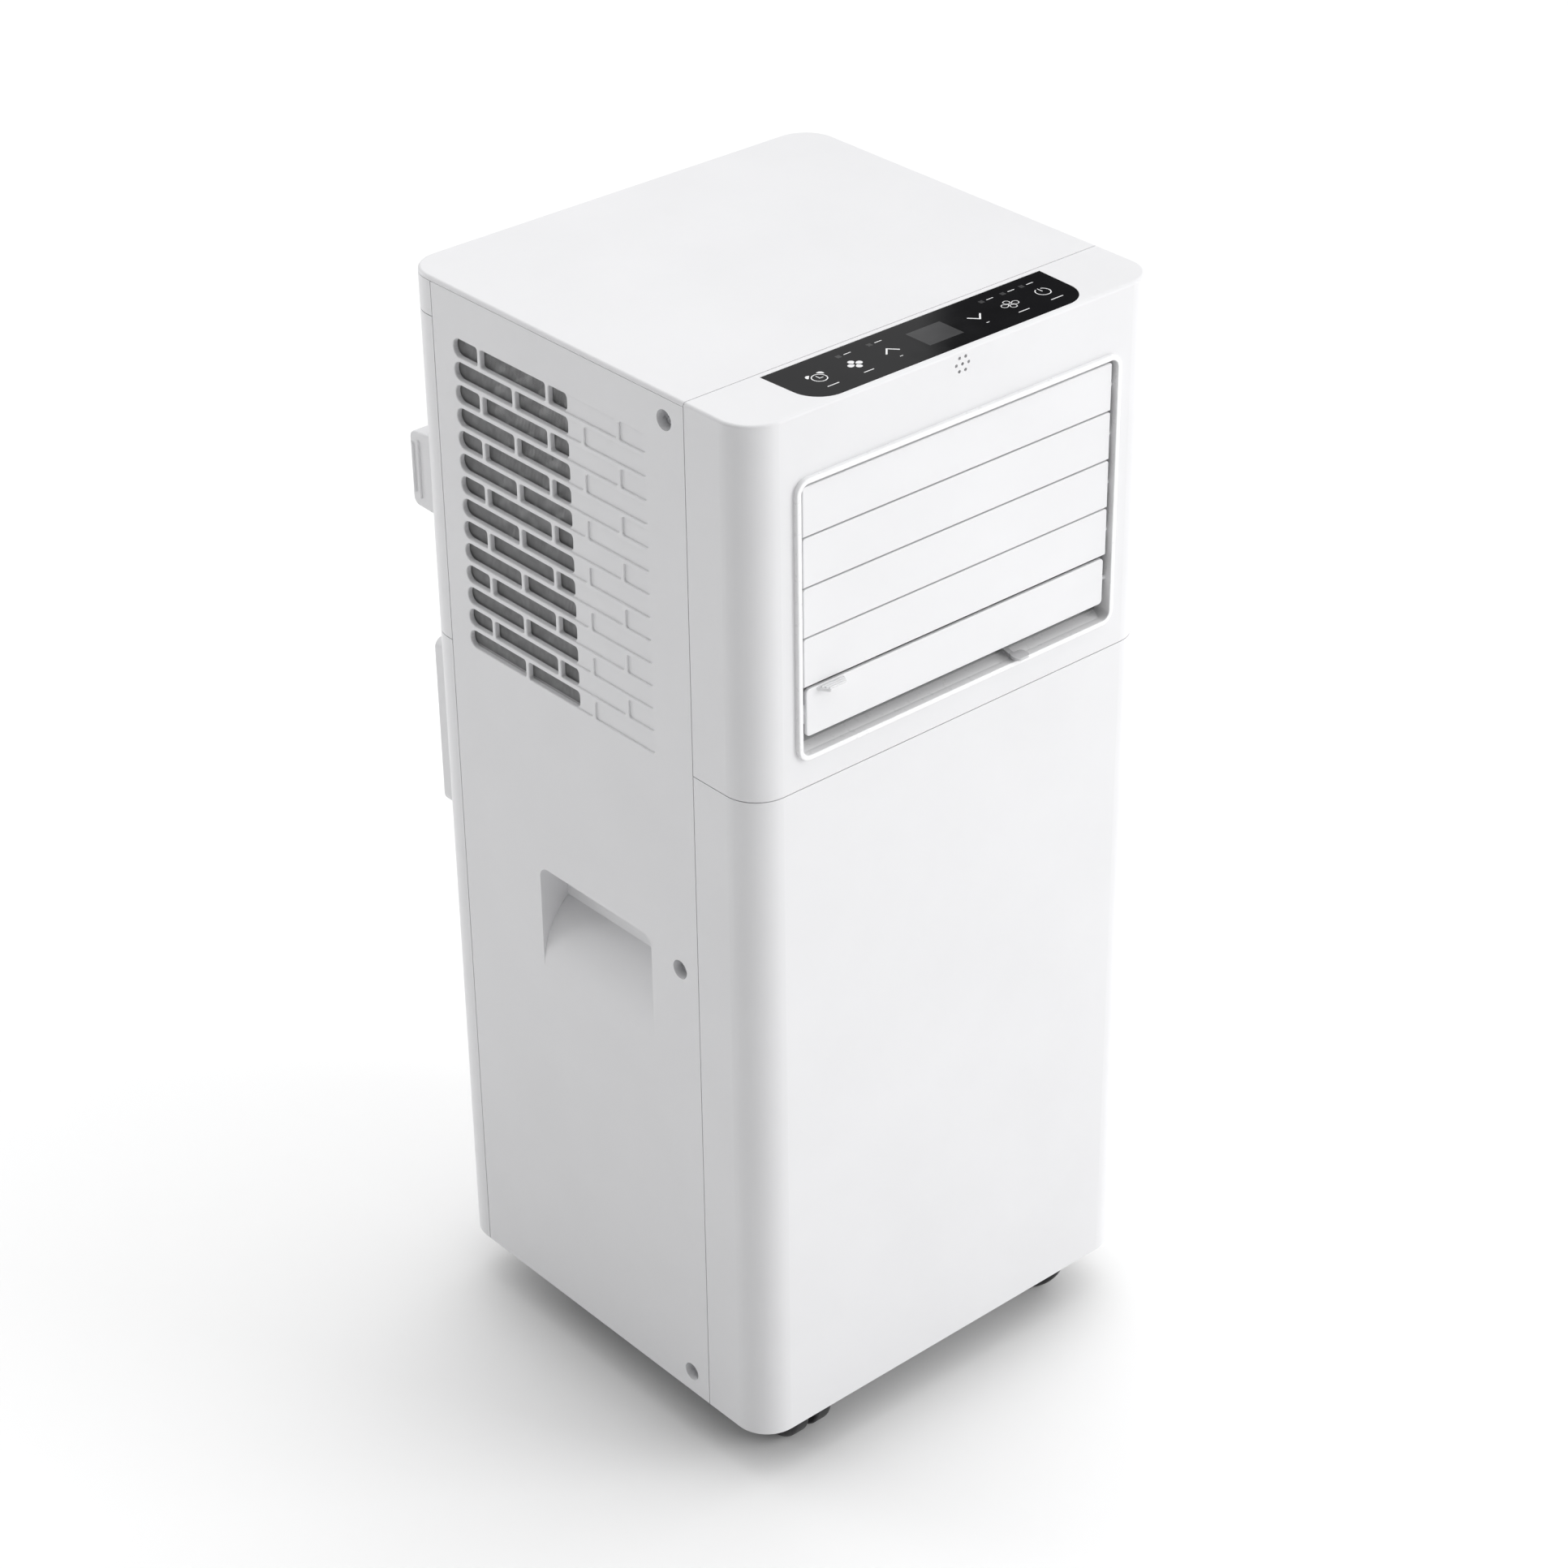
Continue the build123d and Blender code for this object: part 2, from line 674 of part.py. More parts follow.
def side_panel_left():
    z1 = body_h - lid_t - 0.3
    panel = block(-half_w, -inner_x, front_seam_y + seam / 2, rear_seam_y - seam / 2, 0, z1)
    recess, opening, mouths = grille_faces()
    pocket_y1 = pocket_y + pocket_wall
    pocket_y0 = pocket_y - pocket_w - pocket_wall
    panel += along_y(pocket_profile(pocket_wall), pocket_y0, pocket_y1)
    cavity = along_y(pocket_profile(0), pocket_y - pocket_w, pocket_y)
    cavity = fillet(cavity.edges().filter_by(Axis.X).group_by(Axis.Z)[-1], pocket_corner)
    panel -= cavity
    for z in screw_heights:
        x1 = -half_w + screw_hole_depth + screw_seat
        panel += rod((-inner_x, screw_y, z), (x1, screw_y, z), screw_hole_r + 1.8)
        panel -= rod((-half_w - 1, screw_y, z), (x1 - screw_seat, screw_y, z), screw_hole_r)
        panel -= rod((x1 - screw_seat - 1, screw_y, z), (x1 + 1, screw_y, z), screw_r + 0.3)
    for z in (filter_z0 - 3.4, filter_z1 + 0.6):
        panel += block(-inner_x, -filter_x + filter_t + 1.4, filter_y0 + 1, rear_seam_y - lip_reach - 1, z, z + 2.8)
    panel -= extrude(Plane.YZ.offset(-half_w - 1) * recess, 1 + blind_depth)
    panel -= extrude(Plane.YZ.offset(-half_w - 1) * opening, 2 + skin)
    return panel - extrude(Plane.YZ.offset(-half_w) * mouths, mouth, taper=45)


def filter_cassette_left():
    """Filter frame behind the grille with the corner cap and grip it is drawn out by."""
    cap = shell & block(-half_w, -half_w + cap_w, rear_seam_y + seam / 2, half_d,
                        cap_z0 + seam / 2, cap_z1 - seam / 2)
    x0 = -filter_x
    x1 = x0 + filter_t
    y1 = rear_seam_y + 5
    frame = block(x0, x1, filter_y0, y1, filter_z0, filter_z1)
    bays_z = 3
    bar = 4.0
    ribs = 4
    rib_pitch = (grille_y1 + 3 - first_rib_y) / ribs
    rib_y = [filter_y0 + bar - 1] + [first_rib_y + k * rib_pitch for k in range(ribs + 1)]
    span_z = (filter_z1 - filter_z0 - bar) / bays_z
    for j in range(bays_z):
        z = filter_z0 + bar + j * span_z
        for y0, y_next in zip(rib_y, rib_y[1:]):
            frame -= block(x0 - 1, x1 + 1, y0 + 1, y_next - 1, z, z + span_z - bar)
    bridge = block(-inner_x, x1, rear_seam_y + seam / 2, y1, filter_z0, filter_z1)
    seat = block(x0 - 0.1, x0 + mesh_t, filter_y0 + 1.5, grille_y1 + 3, filter_z0 + 1.5, filter_z1 - 1.5)
    return cap + (frame - seat) + bridge + grip()


def grip():
    """Finger grip on the corner cap, with two upright ribs on its outer face."""
    z = (cap_z0 + cap_z1) / 2 - grip_drop
    x0 = -half_w + grip_side
    y_tip = half_d + grip_reach
    half = grip_h / 2
    root = half + grip_root
    outline = polygon([(half_d - 14, z - root), (half_d - 14, z + root), (half_d - 7, z + half + 1.5),
                       (y_tip, z + half - 1.5), (y_tip, z - half), (half_d - 5, z - half - 0.5)])
    outline = fillet(outline.vertices().group_by(Axis.X)[-1], 5)
    body = along_x(outline, x0, x0 + grip_w)
    body -= cabinet(skin / 2, z - root - 1, z + root + 1)
    body = fillet(body.faces().sort_by(Axis.X)[0].edges().filter_by_position(
        Axis.Y, half_d - 3, y_tip + 1), 0.8)
    for y, long_by in ((y_tip - 2.6, 0), (y_tip - 7.8, 2.5)):
        body += rod((x0, y, z - 15.8 - long_by), (x0, y, z + 15.8 + long_by), 1.1)
    return body


def filter_screen_left():
    """Mesh sheet held in the frame, as a plain closed sheet."""
    x0 = -filter_x
    return block(x0, x0 + mesh_t, filter_y0 + 1.6, grille_y1 + 2.9, filter_z0 + 1.6, filter_z1 - 1.6)


def top_cover():
    cover = hull & block(-half_w, half_w, front_seam_y + seam / 2, half_d, body_h - lid_t, body_h)
    inset = skin + 2
    rim = cabinet(inset, body_h - lid_t - 4.5, body_h - lid_t) - cabinet(inset + 2, body_h - 20, body_h)
    rim -= block(-half_w, half_w, -half_d, front_seam_y + lip_reach + 1, 0, body_h)
    return cover + rim


def panel_screws():
    screws = []
    seat_x = half_w - screw_hole_depth
    for side in (-1, 1):
        for z in screw_heights:
            head = rod((side * seat_x, screw_y, z), (side * (seat_x + 2.4), screw_y, z), screw_head_r)
            shank = rod((side * seat_x, screw_y, z), (side * (seat_x - 7.5), screw_y, z), screw_r)
            cross = Pos(side * (seat_x + 2.2), screw_y, z) * (
                Box(1.6, 4.2, 0.9) + Box(1.6, 0.9, 4.2))
            screws.append(head + shank - cross)
    return screws


# ---------------------------------------------------------------- rear
def slots_in_rear(count, z0, half):
    """Horizontal intake slots through the rear wall, in two fields with a post between them."""
    cuts = []
    for k in range(count):
        z = z0 + k * intake_slot_pitch + intake_slot_h / 2
        for side in (-1, 1):
            face = Pos(side * (half / 2 + 3), z) * SlotOverall(half - 6, intake_slot_h)
            cuts.append(face)
    return along_y(Sketch() + cuts, half_d - skin - 1, half_d + 1)


def rear_upper_panel():
    z1 = body_h - lid_t - 0.3
    panel = shell & block(-half_w, half_w, rear_seam_y + seam / 2, half_d, cap_z0 + seam / 2, z1)
    panel -= cabinet(skin, body_h - skin - 1, body_h)
    window = block(-half_w - 1, -half_w + cap_w + seam, rear_seam_y - 1, half_d + 1,
                   cap_z0 - 1, cap_z1 + seam / 2)
    panel -= both_sides(window)
    panel += side_lip(rear_seam_y - lip_reach, rear_seam_y + 4, cap_z1 + 2, z1)
    sill = liner(cap_z1 + seam / 2, cap_z1 + 8)
    panel += sill & block(-half_w, half_w, rear_seam_y + 1, half_d, 0, body_h)
    post_x = half_w - cap_w - seam
    backing = block(post_x - 6, post_x + 6, inner_y - lip, inner_y, cap_z0 + 1, cap_z1 + 1)
    panel += both_sides(backing)
    field = upper_intakes * intake_slot_pitch
    return panel - slots_in_rear(upper_intakes, (cap_z0 + cap_z1 - field) / 2 + 3, intake_w / 2)


def rear_lower_panel():
    z1 = cap_z0 - seam / 2
    panel = shell & block(-half_w, half_w, rear_seam_y + seam / 2, half_d, 0, z1)
    panel += side_lip(rear_seam_y - lip_reach, rear_seam_y + 4, pan_z + pan_rim + 5, z1)
    band = liner(z1 - 8, z1)
    panel += band & block(-half_w, half_w, rear_seam_y + 1, half_d, 0, body_h)
    opening = Pos(0, collar_z + collar_h / 2) * RectangleRounded(
        collar_w - 2 * collar_t, collar_h - 2 * collar_t, collar_r - collar_t)
    panel -= along_y(opening, half_d - skin - 1, half_d + 1)
    panel -= slots_in_rear(lower_intakes, lower_intake_z, intake_w / 2)
    panel -= rod((gland_x, half_d - skin - 1, gland_z), (gland_x, half_d + 1, gland_z), 7.0)
    return panel - rod((drain_x, half_d - skin - 1, drain_z), (drain_x, half_d + 1, drain_z), 9.0)


def exhaust_collar():
    middle = Pos(0, collar_z + collar_h / 2)
    outer = along_y(middle * RectangleRounded(collar_w, collar_h, collar_r), half_d, half_d + collar_reach)
    outer = fillet(outer.edges().group_by(Axis.Y)[-1], 0.8)
    in_wall = 2 * collar_t + 0.2
    tail = middle * RectangleRounded(collar_w - in_wall, collar_h - in_wall, collar_r - collar_t)
    outer += along_y(tail, half_d - skin - 2, half_d)
    inner = middle * RectangleRounded(collar_w - 4 * collar_t, collar_h - 4 * collar_t, collar_r / 2)
    collar = outer - along_y(inner, half_d - 20, half_d + collar_reach + 1)
    for side in (-1, 1):
        x = side * collar_w / 2
        z = collar_z + collar_h / 2
        groove_x = sorted((x, x - side * 2))
        collar -= block(*groove_x, half_d + 8, half_d + 14, z - 30, z + collar_h)
    return collar


def cord_gland():
    gland = rod((gland_x, inner_y - 4, gland_z), (gland_x, half_d + 3, gland_z), 6.9)
    gland += rod((gland_x, half_d, gland_z), (gland_x, half_d + 3, gland_z), 10)
    gland += rod((gland_x, inner_y - 4, gland_z), (gland_x, inner_y, gland_z), 9)
    return gland - rod((gland_x, inner_y - 6, gland_z), (gland_x, half_d + 5, gland_z), 4.2)


def drain_plug():
    """Rubber stopper with a pull rim."""
    plug = rod((drain_x, half_d - 12, drain_z), (drain_x, half_d, drain_z), 6.0)
    plug += rod((drain_x, half_d, drain_z), (drain_x, half_d + 3, drain_z), 8.0)
    rim = rod((drain_x, half_d + 3, drain_z), (drain_x, half_d + 6, drain_z), 5.0)
    return plug + fillet(rim.edges().group_by(Axis.Y)[-1], 1)


def drain_spout():
    """Spout of the base pan that the stopper closes."""
    spout = rod((drain_x, half_d - 30, drain_z), (drain_x, half_d, drain_z), 8.9)
    return spout - rod((drain_x, half_d - 31, drain_z), (drain_x, half_d + 1, drain_z), 6.0 + fit)


# ---------------------------------------------------------------- base, castors
def castor_place(name):
    x = half_w - castor_inset_x
    y = half_d - castor_inset_y
    return (-x if "left" in name else x), (-y if "front" in name else y)


def base_pan():
    gap = skin + 0.3
    pan = cabinet(gap, pan_z, pan_z + pan_rim) - cabinet(gap + 2.5, pan_z + pan_t, pan_z + pan_rim + 1)
    roof = well_top + 2.5
    for name in castor_turn:
        x, y = castor_place(name)
        pan += along_z(Pos(x, y) * Circle(well_r + well_wall), pan_z, roof)
        pan += along_z(Pos(x, y) * Circle(8), roof, roof + 10)
    pan &= cabinet(gap, pan_z, body_h)
    for name in castor_turn:
        x, y = castor_place(name)
        pan -= along_z(Pos(x, y) * Circle(well_r), -1, well_top)
        pan -= along_z(Pos(x, y) * Circle(stem_r + fit), 0, roof + 11)
    for k in range(3):
        x, y = compressor_foot(k)
        pan += along_z(Pos(x, y) * Circle(5), pan_z + pan_t - 1, pan_z + pan_t + 2)
        pan += along_z(Pos(x, y) * Circle(3), pan_z + pan_t - 1, pan_z + pan_t + foot_h + 4)
    notch = block(half_w - screw_hole_depth - screw_seat - lug_t - 0.5, half_w, front_seam_y - lip_reach - 1,
                  screw_y + 9, pan_z + pan_t, body_h)
    pan -= both_sides(notch)
    pan += drain_spout()
    pan += block(drain_x - 6, drain_x + 6, half_d - 30, half_d - 22, well_top + 1, drain_z)
    return pan - rod((drain_x, half_d - 31, drain_z), (drain_x, half_d + 1, drain_z), 6.0 + fit)


def castor_swivel(name):
    """Stem, hood and centre web of a twin-wheel castor, with its axle."""
    front = castor_trail + 6
    web = Circle(9) + polygon([(-8, 0), (3, -8), (front, 14), (front, 22), (castor_trail - 8, 22)])
    fork = along_x(Pos(-castor_trail, axle_z) * web, -castor_web / 2, castor_web / 2)
    hood = Circle(castor_r + 3) - Circle(castor_r + 1.2)
    hood &= polygon([(0, 0), (-12, 28), (28, 28), (31, 3)])
    fork += along_x(Pos(-castor_trail, axle_z) * hood, -castor_w / 2, castor_w / 2)
    fork += along_z(Circle(10), axle_z + castor_r + 1.5, well_top - 0.3)
    fork += along_z(Circle(stem_r), well_top - 1, well_top + stem_h)
    axle_end = castor_w / 2 - 1.5
    fork += rod((-axle_end, -castor_trail, axle_z), (axle_end, -castor_trail, axle_z), castor_axle_r)
    x, y = castor_place(name)
    return Pos(x, y, 0) * Rotation(0, 0, castor_turn[name]) * fork


def castor_wheels(name):
    """Two wheels on one axle, with a hub cap on each outer face."""
    wheel = rod((castor_web / 2 + 0.8, 0, 0), (castor_w / 2, 0, 0), castor_r)
    wheel = fillet(wheel.edges().group_by(Axis.X)[-1], 5)
    wheel = fillet(wheel.edges().group_by(Axis.X)[0], 1.5)
    wheel += rod((castor_w / 2 - 1, 0, 0), (castor_w / 2 + 1.2, 0, 0), 7.5)
    wheel -= rod((0, 0, 0), (castor_w / 2 - 1, 0, 0), castor_axle_r + fit)
    pair = Pos(0, -castor_trail, axle_z) * (wheel + other_side(wheel))
    x, y = castor_place(name)
    return Pos(x, y, 0) * Rotation(0, 0, castor_turn[name]) * pair


# ---------------------------------------------------------------- refrigerant circuit
def compressor_foot(k):
    angle = radians(30 + 120 * k)
    return compressor_at[0] + foot_ring * cos(angle), compressor_at[1] + foot_ring * sin(angle)


def compressor():
    x, y = compressor_at
    z0 = pan_z + pan_t + foot_h
    plate = Pos(x, y) * Circle(compressor_r - 8)
    for k in range(3):
        fx, fy = compressor_foot(k)
        arm = Pos((x + fx) / 2, (y + fy) / 2) * Rotation(0, 0, 30 + 120 * k) * Rectangle(foot_ring, 24)
        plate += arm + Pos(fx, fy) * Circle(12)
    base = along_z(plate, z0, z0 + 3)
    can = along_z(Pos(x, y) * Circle(compressor_r), z0 + 3, z0 + compressor_h)
    can = fillet(can.edges().group_by(Axis.Z)[-1], 20)
    can += rod((x, y, z0 + compressor_h - 2), (x, y, z0 + compressor_h + 8), 12)
    for k in range(3):
        fx, fy = compressor_foot(k)
        base -= along_z(Pos(fx, fy) * Circle(foot_r - 3), z0 - 1, z0 + 4)
    return base + can


def compressor_feet():
    feet = []
    z0 = pan_z + pan_t + 2
    for k in range(3):
        x, y = compressor_foot(k)
        foot = along_z(Pos(x, y) * Circle(foot_r), z0, pan_z + pan_t + foot_h)
        foot += along_z(Pos(x, y) * Circle(foot_r - 3.2), z0, pan_z + pan_t + foot_h + 3.2)
        feet.append(foot - along_z(Pos(x, y) * Circle(3.2), z0 - 1, z0 + foot_h + 9))
    return feet


def accumulator():
    x, y = accumulator_at
    z0 = pan_z + pan_t + foot_h + 30
    can = along_z(Pos(x, y) * Circle(accumulator_r), z0, z0 + accumulator_h)
    can = fillet(can.edges().group_by(Axis.Z)[-1] + can.edges().group_by(Axis.Z)[0], 10)
    strap_x = compressor_at[0] + compressor_r * 0.93
    return can + block(strap_x + 6, x, y - 5, y + 5, z0 + 70, z0 + 74)


def pipe(points, radius, bend):
    """Copper line along straight runs with equal bends."""
    path = FilletPolyline(*points, radius=bend)
    start = path @ 0
    return sweep(Plane(origin=start, z_dir=path % 0) * Circle(radius), path)


def suction_line():
    x, y = accumulator_at
    top = pan_z + pan_t + foot_h + 30 + accumulator_h
    return pipe([(x, y, top), (x, y, deck_z - 28), (riser_x, riser_y, deck_z - 28),
                 (riser_x, riser_y, deck_z + 7), (coil_end_x, riser_y, deck_z + 7)], pipe_r, [14, 14, 8])


def discharge_line():
    x, y = compressor_at
    top = pan_z + pan_t + foot_h + compressor_h + 8
    side_x = -condenser_w / 2 + 6
    end_y = inner_y - 18 - condenser_t / 2
    return pipe([(x, y, top), (x, y, top + 22), (side_x, y, top + 22), (side_x, end_y - 30, top + 22),
                 (side_x, end_y - 30, top + 2)], 3.2, 9)


def liquid_line():
    y = riser_y
    return pipe([(-coil_end_x, y, deck_z + 7), (-riser_x, y, deck_z + 7), (-riser_x, y, deck_z - 30),
                 (-riser_x, y + 60, deck_z - 30)], 2.2, 6)


def condenser_scroll():
    """Scroll and outlet box that lead the hot air to the collar."""
    def outline(inset):
        face = Pos(0, blower_z) * Circle(scroll_r - inset)
        face += polygon([(-25, blower_z), (scroll_r - inset, blower_z), (scroll_r - inset, collar_z + 12),
                         (-25, collar_z + 12)])
        half = collar_w / 2 - 6 - inset
        face += polygon([(-half, collar_z + inset), (half, collar_z + inset), (half, collar_z + collar_h - inset),
                         (-half, collar_z + collar_h - inset)])
        return face
    y1 = scroll_y + scroll_depth
    housing = along_y(outline(0), scroll_y, y1) - along_y(outline(2), scroll_y + 2, y1 - 2)
    half = collar_w / 2 - 6
    tunnel_z0 = condenser_z + condenser_h + 14
    tunnel = block(-half, half, y1 - 2, half_d - skin - 2.2, tunnel_z0, collar_z + collar_h)
    tunnel -= block(-half + 2, half - 2, y1 - 3, half_d, tunnel_z0 + 2, collar_z + collar_h - 2)
    housing -= block(-half + 2, half - 2, y1 - 3, y1 + 1, tunnel_z0 + 2, collar_z + collar_h - 2)
    housing += tunnel
    housing -= along_y(Pos(0, blower_z) * Circle(blower_r - 14), y1 - 4, y1 + 1)
    return housing - along_y(Pos(0, blower_z) * Circle(30), scroll_y - 1, scroll_y + 4)


def condenser_wheel():
    y0 = scroll_y + 6
    disc = Pos(0, blower_z) * Circle(blower_r)
    wheel = along_y(disc, y0, y0 + 2)
    blade = Pos(blower_r - 8, 0) * Rotation(0, 0, -28) * Rectangle(15, 1.2)
    ring = Sketch() + [Rotation(0, 0, 360 / 30 * k) * blade for k in range(30)]
    wheel += along_y(Pos(0, blower_z) * ring, y0 + 1, y0 + blower_w)
    rim = Pos(0, blower_z) * (Circle(blower_r) - Circle(blower_r - 13))
    wheel += along_y(rim, y0 + blower_w - 2, y0 + blower_w)
    wheel += rod((0, y0, blower_z), (0, y0 + 22, blower_z), 10)
    return wheel + rod((0, y0 + 1, blower_z), (0, y0 - 22, blower_z), 4)


def condenser_motor():
    motor = rod((0, scroll_y - 34, blower_z), (0, scroll_y, blower_z), 38)
    motor = fillet(motor.edges().group_by(Axis.Y)[0], 5)
    return motor - rod((0, scroll_y - 20, blower_z), (0, scroll_y + 1, blower_z), 4 + fit)


def mid_deck():
    """Deck between the two compartments, with a rim that catches condensate."""
    x1 = inner_x - lip
    y0 = -inner_y + lip
    deck = block(-x1, x1, y0, inner_y - lip - 0.4, deck_z - deck_t, deck_z)
    deck &= cabinet(skin + lip + 0.2, 0, body_h)
    for x in (-riser_x, riser_x):
        deck -= rod((x, riser_y, deck_z - 9), (x, riser_y, deck_z + 9), pipe_r + 1.5)
    rim_y = evaporator_y + evaporator_t + 4
    rim = block(-x1 + 2, x1 - 2, rim_y, rim_y + 2, deck_z - 1, deck_z + 5)
    return deck + rim


# ---------------------------------------------------------------- electrics
def electric_box():
    z1 = box_z0 + box_h
    case = block(box_x0, box_x1, box_y0, box_y1, box_z0, z1)
    case -= block(box_x0 + 2, box_x1 - 2, box_y0 + 2, box_y1 + 1, box_z0 + 2, z1 - 2)
    return case + block(box_x0 + 20, box_x0 + 24, box_y0 + 1, box_y0 + 8, box_z0 + 1, z1 - 1)


def main_board():
    z1 = box_z0 + box_h
    y = box_y0 + 8
    board = block(box_x0 + 4, box_x1 - 4, y, y + 1.6, box_z0 + 6, z1 - 6)
    board += block(box_x0 + 10, box_x0 + 34, y + 1.6, y + 20, box_z0 + 14, box_z0 + 46)
    board += block(box_x0 + 44, box_x0 + 62, y + 1.6, y + 16, box_z0 + 20, box_z0 + 36)
    for k in range(4):
        board += block(box_x0 + 10 + 14 * k, box_x0 + 20 + 14 * k, y + 1.6, y + 10, z1 - 26, z1 - 12)
    return board


def run_capacitor():
    x = box_x0 + 50
    y = box_y1 - 20
    can = rod((x, y, box_z0 + 2), (x, y, box_z0 + 86), 17)
    can = fillet(can.edges().group_by(Axis.Z)[-1], 2)
    return can + rod((x, y, box_z0 + 86), (x, y, box_z0 + 94), 4)


def control_overlay():
    glass = along_z(overlay_face(0), body_h - panel_t - 0.1, body_h)
    return fillet(glass.faces().sort_by(Axis.Z)[-1].edges(), 0.3)


def display_board():
    half = half_w - panel_side - 6
    y0 = front_y + panel_from_front + 4
    y1 = y0 + panel_d - 8
    z = body_h - skin - 9
    board = block(-half, half, y0, y1, z, z + 1.6)
    board += block(-12, 16, y0 + 9, y0 + 27, z + 1.6, body_h - skin)
    for k in range(-3, 4):
        if k != 0:
            board += block(28 * k - 4, 28 * k + 4, y0 + 12, y0 + 20, z + 1.6, body_h - skin)
    return board


# ---------------------------------------------------------------- write every piece
save("base_pan", base_pan())
save("front_lower_panel", front_lower_panel())
save("front_upper_panel", front_upper_panel())
save("louvre_trim", louvre_trim())
left_panel = side_panel_left()
save("side_panel_left", left_panel)
save("side_panel_right", other_side(left_panel))
save("top_cover", top_cover())
save("rear_upper_panel", rear_upper_panel())
save("rear_lower_panel", rear_lower_panel())
cassette = filter_cassette_left()
save("filter_cassette_left", cassette)
save("filter_cassette_right", other_side(cassette))
screen = filter_screen_left()
save("filter_screen_left", screen)
save("filter_screen_right", other_side(screen))
save("exhaust_collar", exhaust_collar())
save("control_overlay", control_overlay())
save("display_board", display_board())
for k in range(slat_count):
    piece = slat(k)
    if k == slat_count - 1:
        piece += finger_tab()
    save(f"slat_{k + 1}", piece)
save("slat_link", slat_link())
save("outlet_duct", outlet_duct())
for k in range(vane_count):
    piece = vane(k)
    if k == lever_vane:
        piece += swing_lever()
    save(f"vane_{k + 1}", piece)
save("vane_link", vane_link())
save("evaporator_wheel", evaporator_wheel())
save("evaporator_motor", evaporator_motor())
save("evaporator_coil", evaporator_coil())
save("mid_deck", mid_deck())
save("condenser_coil", condenser_coil())
save("condenser_scroll", condenser_scroll())
save("condenser_wheel", condenser_wheel())
save("condenser_motor", condenser_motor())
save("compressor", compressor())
save("compressor_feet", Compound(compressor_feet()))
save("accumulator", accumulator())
save("suction_line", suction_line())
save("discharge_line", discharge_line())
save("liquid_line", liquid_line())
save("electric_box", electric_box())
save("main_board", main_board())
save("run_capacitor", run_capacitor())
save("cord_gland", cord_gland())
save("drain_plug", drain_plug())
save("panel_screws", Compound(panel_screws()))
for name in castor_turn:
    save(f"castor_swivel_{name}", castor_swivel(name))
    save(f"castor_wheels_{name}", castor_wheels(name))
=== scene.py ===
import json
import math

import bmesh
import bpy
from mathutils import Matrix, Vector


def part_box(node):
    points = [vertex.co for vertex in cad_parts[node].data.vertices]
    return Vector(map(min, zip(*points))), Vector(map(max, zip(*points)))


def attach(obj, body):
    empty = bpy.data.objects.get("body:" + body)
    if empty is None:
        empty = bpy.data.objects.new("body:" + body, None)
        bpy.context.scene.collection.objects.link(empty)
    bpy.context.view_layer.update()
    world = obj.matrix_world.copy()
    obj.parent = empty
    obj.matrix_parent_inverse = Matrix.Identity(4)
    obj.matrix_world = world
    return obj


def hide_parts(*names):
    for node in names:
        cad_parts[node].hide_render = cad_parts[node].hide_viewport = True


# Looks of the portable air conditioner, in metres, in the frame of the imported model:
# the floor is z = 0, the front with the slats faces -Y.

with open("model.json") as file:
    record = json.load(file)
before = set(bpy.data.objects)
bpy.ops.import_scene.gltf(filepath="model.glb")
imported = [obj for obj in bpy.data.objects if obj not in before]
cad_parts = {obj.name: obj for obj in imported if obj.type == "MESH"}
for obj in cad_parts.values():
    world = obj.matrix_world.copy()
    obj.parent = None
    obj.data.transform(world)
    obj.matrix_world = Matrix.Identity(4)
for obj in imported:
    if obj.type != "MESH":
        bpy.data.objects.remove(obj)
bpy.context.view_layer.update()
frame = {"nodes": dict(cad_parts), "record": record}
nodes = frame["nodes"]
MM = 0.001


# ---------------------------------------------------------------- materials

NOISE_LOW, NOISE_HIGH = 0.3, 0.7  # most of a noise texture's values lie between these


